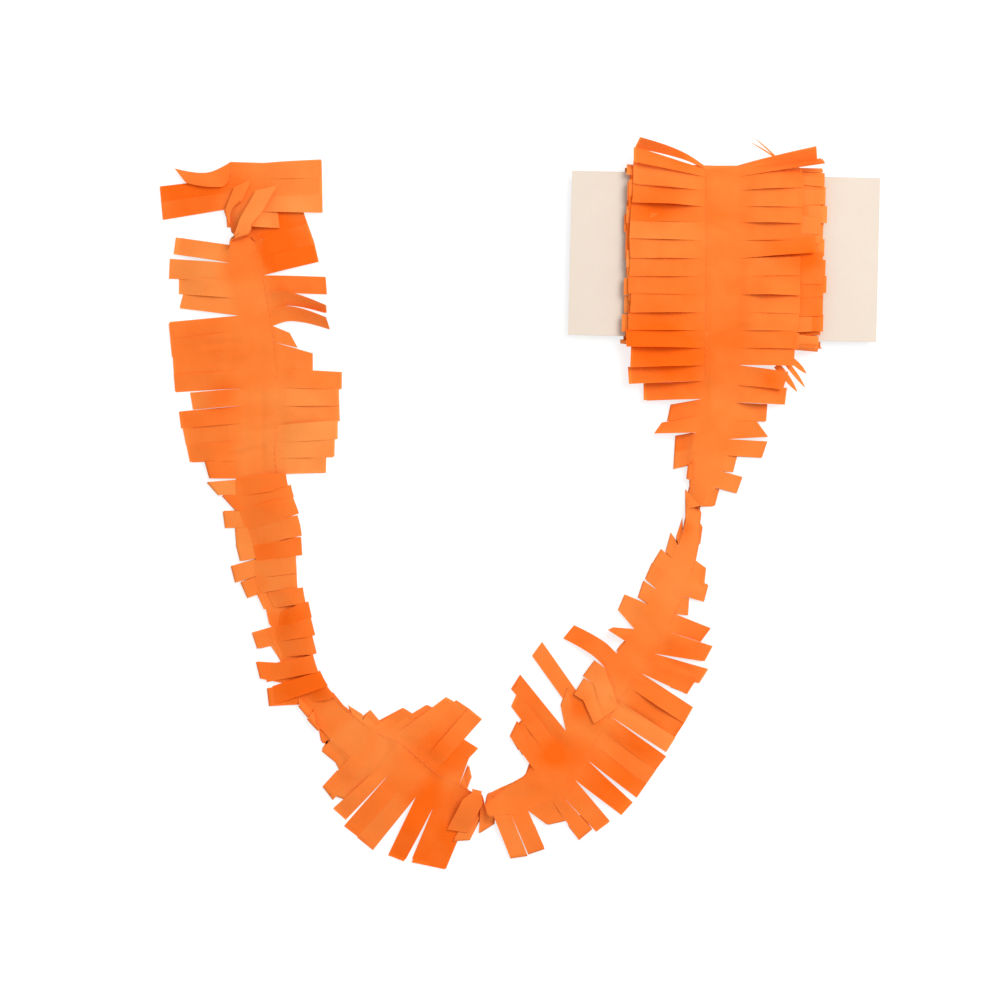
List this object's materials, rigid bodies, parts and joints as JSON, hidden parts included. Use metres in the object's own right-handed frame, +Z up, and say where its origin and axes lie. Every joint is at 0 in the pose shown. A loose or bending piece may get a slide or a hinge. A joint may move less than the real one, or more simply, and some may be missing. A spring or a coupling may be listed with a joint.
{
  "type": "tissue paper fringe garland",
  "caption": "Garland of tissue paper slit to a fringe along both edges, wound on a flat card, its free end drawn out over the table in a U.",
  "frame": {"origin": "under the middle of the winding card, on the table", "axes": "+X along the card's long edge, +Y across the card away from the loose length, +Z up"},
  "size_m": [0.4308, 0.4264, 0.0282],
  "materials": {
    "tissue": "matte",
    "board": "matte",
    "thread": "matte"
  },
  "bodies": {
    "root": {"winding_card": "board", "wound_turns": "tissue", "loose_length": "tissue", "seam_thread": "thread"}
  },
  "joints": []
}
